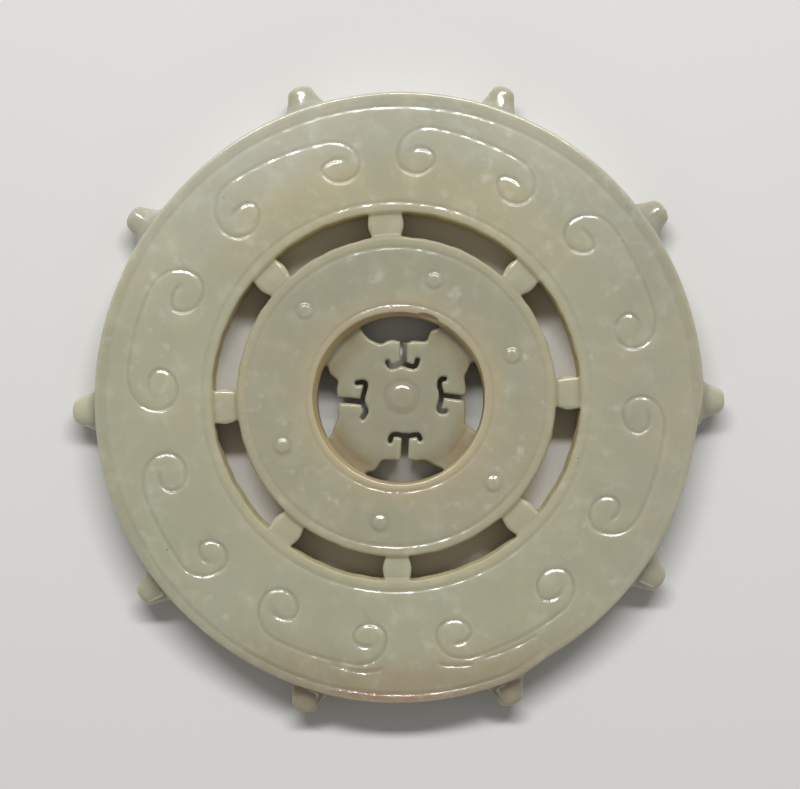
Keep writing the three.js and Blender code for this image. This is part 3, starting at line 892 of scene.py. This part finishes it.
class Finish:
    """A material under construction, with one method for every node."""

    def __init__(self, name):
        self.material = bpy.data.materials.new(name)
        self.material.use_nodes = True
        self.tree = self.material.node_tree
        self.tree.nodes.clear()

    def node(self, kind, settings, sockets, output=0):
        """Adds any node, its sockets fed by wires or constants, and returns the wire of one output."""
        made = self.tree.nodes.new(kind)
        for name, value in settings.items():
            setattr(made, name, value)
        for name, value in sockets.items():
            if isinstance(value, Wire):
                self.tree.links.new(value.socket, made.inputs[name])
            else:
                made.inputs[name].default_value = value
        return Wire(self, made.outputs[output]) if made.outputs else None

    def place(self):
        """Where each point lies on its own object, in metres."""
        return self.node("ShaderNodeTexCoord", {}, {}, output="Object")

    def axis(self, name):
        """Each point's X, Y or Z, in millimetres."""
        return self.node("ShaderNodeSeparateXYZ", {}, {"Vector": self.place()}, output=name) * (1 / MM)

    def away(self, centre):
        """Each point's distance from a centre in X and Y, in millimetres."""
        across = self.axis("X") - centre[0]
        along = self.axis("Y") - centre[1]
        return (across * across + along * along) ** 0.5

    def band(self, value, begins, full):
        """Smooth share from 0 where a value begins to 1 where it is full."""
        sockets = {"Value": value, "From Min": begins, "From Max": full}
        return self.node("ShaderNodeMapRange", {"interpolation_type": "SMOOTHSTEP"}, sockets)

    def zone(self, limits):
        """Share of a zone that is measured along axes or from centres."""
        share = 1
        for measure, begins, full in limits:
            value = self.axis(measure) if isinstance(measure, str) else self.away(measure)
            share = share * self.band(value, begins, full)
        return share

    def noise(self, waves_to_metre, detail, roughness=0.5):
        """Cloudy noise between 0 and 1."""
        sockets = {"Vector": self.place(), "Scale": waves_to_metre, "Detail": detail, "Roughness": roughness}
        return self.node("ShaderNodeTexNoise", {}, sockets)

    def patches(self, waves_to_metre, detail, roughness, begins, full):
        """Share of cloudy patches."""
        return self.band(self.noise(waves_to_metre, detail, roughness), begins, full)

    def shade(self, share, under, by):
        """One colour multiplied by another by a share."""
        settings = {"data_type": "RGBA", "blend_type": "MULTIPLY"}
        return self.node("ShaderNodeMix", settings, {0: share, 6: under, 7: by}, output=2)

    def tint(self, share, under, over):
        """One colour laid over another by a share."""
        return self.node("ShaderNodeMix", {"data_type": "RGBA"}, {0: share, 6: under, 7: over}, output=2)

    def surface(self, sockets):
        """Ends the material with one shader of these sockets, and returns the material."""
        shader = self.node("ShaderNodeBsdfPrincipled", {}, sockets, output="BSDF")
        self.node("ShaderNodeOutputMaterial", {}, {"Surface": shader})
        return self.material


def stone_colour(finish):
    """The stone's own colours: grey-green clouds, cool and pale patches, and small milky flecks."""
    colour = CLOUD_GREEN
    for patches, share, over in STONE_LAYERS:
        colour = finish.tint(finish.patches(*patches) * share, colour, over)
    flecks = finish.patches(*FLECKS) * finish.patches(*FLECK_SPREAD)
    fleck_share = FLECK_SHARE + INNER_FLECK_SHARE * finish.zone(INNER_FLECK_ZONE)
    return finish.tint(flecks * fleck_share, colour, MILKY_WHITE)


def shaded(finish, colour):
    """A colour with the soft shades of the front, among them painted light at the top and at the side knobs
    and painted shade at the bottom.
    """
    for by, limits in SHADES.values():
        colour = finish.shade(finish.zone(limits), colour, by)
    return colour


def slot_lips(finish):
    """Share of the slots' unpolished edges."""
    shares = []
    for radius in (SLOT_OUTER_RADIUS, SLOT_INNER_RADIUS):
        inside = (SLOT_CENTRE, radius - LIP_REACH, radius - LIP_FULL)
        outside = (SLOT_CENTRE, radius + LIP_REACH, radius + LIP_FULL)
        shares.append(finish.zone([inside, outside]))
    return shares[0] + shares[1]


def opening_stains(finish, colour):
    """A colour with tan beside the slots and the hub's mouth, brown edges of the slots darkened further with
    painted shade, and brown walls of the slots lightened with painted light.
    """
    colour = finish.tint(finish.zone(SLOT_TAN_ZONE) * SLOT_TAN_SHARE, colour, SLOT_TAN)
    colour = finish.tint(finish.zone(MOUTH_TAN_ZONE) * MOUTH_TAN_SHARE, colour, MOUTH_TAN)
    colour = finish.shade(slot_lips(finish), colour, LIP_BROWN_AND_PAINTED_SHADE)
    return finish.tint(finish.zone(SLOT_WALL_ZONE) * SLOT_WALL_SHARE, colour, SLOT_WALL_BROWN_AND_PAINTED_LIGHT)


def hub_stains(finish, colour):
    """A colour with the hub darker, brown crescents of stain and painted shade towards the disc's edge, and
    the brown wall lightened with painted light.
    """
    colour = finish.shade(finish.zone(HUB_ZONE), colour, HUB_SHADE)
    crescent_share = CRESCENT_SHARE + CRESCENT_BLOTCH_SHARE * finish.patches(*BLOTCHES)
    colour = finish.tint(finish.zone(CRESCENT_ZONE) * crescent_share, colour, CRESCENT_STAIN_AND_PAINTED_SHADE)
    return finish.tint(finish.zone(HUB_WALL_ZONE), colour, HUB_WALL_BROWN_AND_PAINTED_LIGHT)


def red_stain(finish):
    """Share of the blotchy red stain along the bottom of the rim's groove."""
    return finish.zone(RED_STAIN_ZONE) * finish.patches(*STAIN_BLOTCHES)


def specked(finish, colour):
    """A colour with the dark specks of the front."""
    for centre in SPECKS:
        speck = finish.band(finish.away(centre), SPECK_RADIUS, 0)
        colour = finish.tint(speck, colour, SPECK_BLACK)
    return colour


def jade_colour(finish):
    """The stone with its shades, some of them painted light and painted shade, and with the stains and specks
    that age added; painted shade darkens the slots' edges and the hub's crescents, and painted light lightens
    the slots' and hub's walls.
    """
    colour = shaded(finish, stone_colour(finish))
    colour = hub_stains(finish, opening_stains(finish, colour))
    colour = finish.shade(red_stain(finish), colour, RED_SHADE)
    return specked(finish, colour)


def jade_roughness(finish):
    """A waxy polish that is missing in the hub's corner and on the slots' walls and edges."""
    polish = POLISH + POLISH_CHANGE * finish.noise(*POLISH_NOISE)
    corner = HUB_CORNER_MATT * finish.zone(HUB_CORNER_ZONE)
    walls = SLOT_WALL_MATT * finish.zone(SLOT_WALL_ZONE)
    return polish + corner + walls + LIP_MATT * slot_lips(finish)


def jade_bump(finish):
    """A fine grain, with deeper pits in the red stain."""
    pits = finish.noise(*PIT_NOISE) * red_stain(finish)
    height = finish.noise(*GRAIN_NOISE) + PIT_DEPTH * pits
    sockets = {"Height": height, "Strength": BUMP_STRENGTH, "Distance": BUMP_DISTANCE}
    return finish.node("ShaderNodeBump", {}, sockets, output="Normal")


def jade():
    """Pale grey-green jade with a waxy polish, which light enters a little way."""
    finish = Finish("jade")
    return finish.surface({
        "Base Color": jade_colour(finish),
        "Roughness": jade_roughness(finish),
        "IOR": JADE_IOR,
        "Subsurface Weight": LIGHT_SHARE,
        "Subsurface Radius": LIGHT_TINT,
        "Subsurface Scale": LIGHT_REACH,
        "Normal": jade_bump(finish),
    })


def pale_floor():
    """Matt off-white board."""
    finish = Finish("pale_floor")
    return finish.surface({"Base Color": FLOOR_COLOUR, "Roughness": FLOOR_ROUGHNESS})


# Stage, light and camera

def lay_floor():
    """The plain floor that the wheel lies on."""
    shape = bmesh.new()
    bmesh.ops.create_grid(shape, x_segments=1, y_segments=1, size=FLOOR_SIZE)
    bmesh.ops.translate(shape, vec=(0, 0, -FLOOR_GAP), verts=shape.verts)
    floor = new_object("floor", shape)
    floor.data.materials.append(pale_floor())


def area_light(name, place, size, power, mirrored):
    """A soft rectangular lamp aimed at the wheel, which shows in reflections or only brightens."""
    lamp = bpy.data.lights.new(name, "AREA")
    lamp.shape = "RECTANGLE"
    lamp.size, lamp.size_y = size
    lamp.energy = power
    holder = bpy.data.objects.new(name, lamp)
    holder.visible_glossy = mirrored
    holder.location = place
    holder.rotation_euler = (-Vector(place)).to_track_quat("-Z", "Y").to_euler()
    bpy.context.scene.collection.objects.link(holder)


def light_stage():
    """A wide key above the wheel's top edge, weak fills at the sides and bottom, and an even surround."""
    for name, (place, size, power, mirrored) in LAMPS.items():
        area_light(name, place, size, power, mirrored)
    world = bpy.data.worlds.new("surround")
    world.use_nodes = True
    background = world.node_tree.nodes["Background"]
    background.inputs["Color"].default_value = SURROUND_COLOUR
    background.inputs["Strength"].default_value = SURROUND_STRENGTH
    bpy.context.scene.world = world
    bpy.context.scene.view_settings.view_transform = "Standard"


def place_camera():
    """The photograph's view, straight down on the lying wheel."""
    lens = bpy.data.cameras.new("camera")
    lens.sensor_width = SENSOR_WIDTH
    lens.lens = SENSOR_WIDTH * VIEW_DISTANCE / (IMAGE_SIZE[0] * PIXEL)
    holder = bpy.data.objects.new("camera", lens)
    across = (IMAGE_SIZE[0] / 2 - RIM_CENTRE_PIXEL[0]) * PIXEL
    along = (RIM_CENTRE_PIXEL[1] - IMAGE_SIZE[1] / 2) * PIXEL
    holder.location = (across, along, FRONT * MM + VIEW_DISTANCE)
    bpy.context.scene.collection.objects.link(holder)
    bpy.context.scene.camera = holder


place_camera()
light_stage()
lay_floor()
wheel = jade_wheel()
wheel.data.materials.append(jade())
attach(wheel, "root")
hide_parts("jade_wheel")
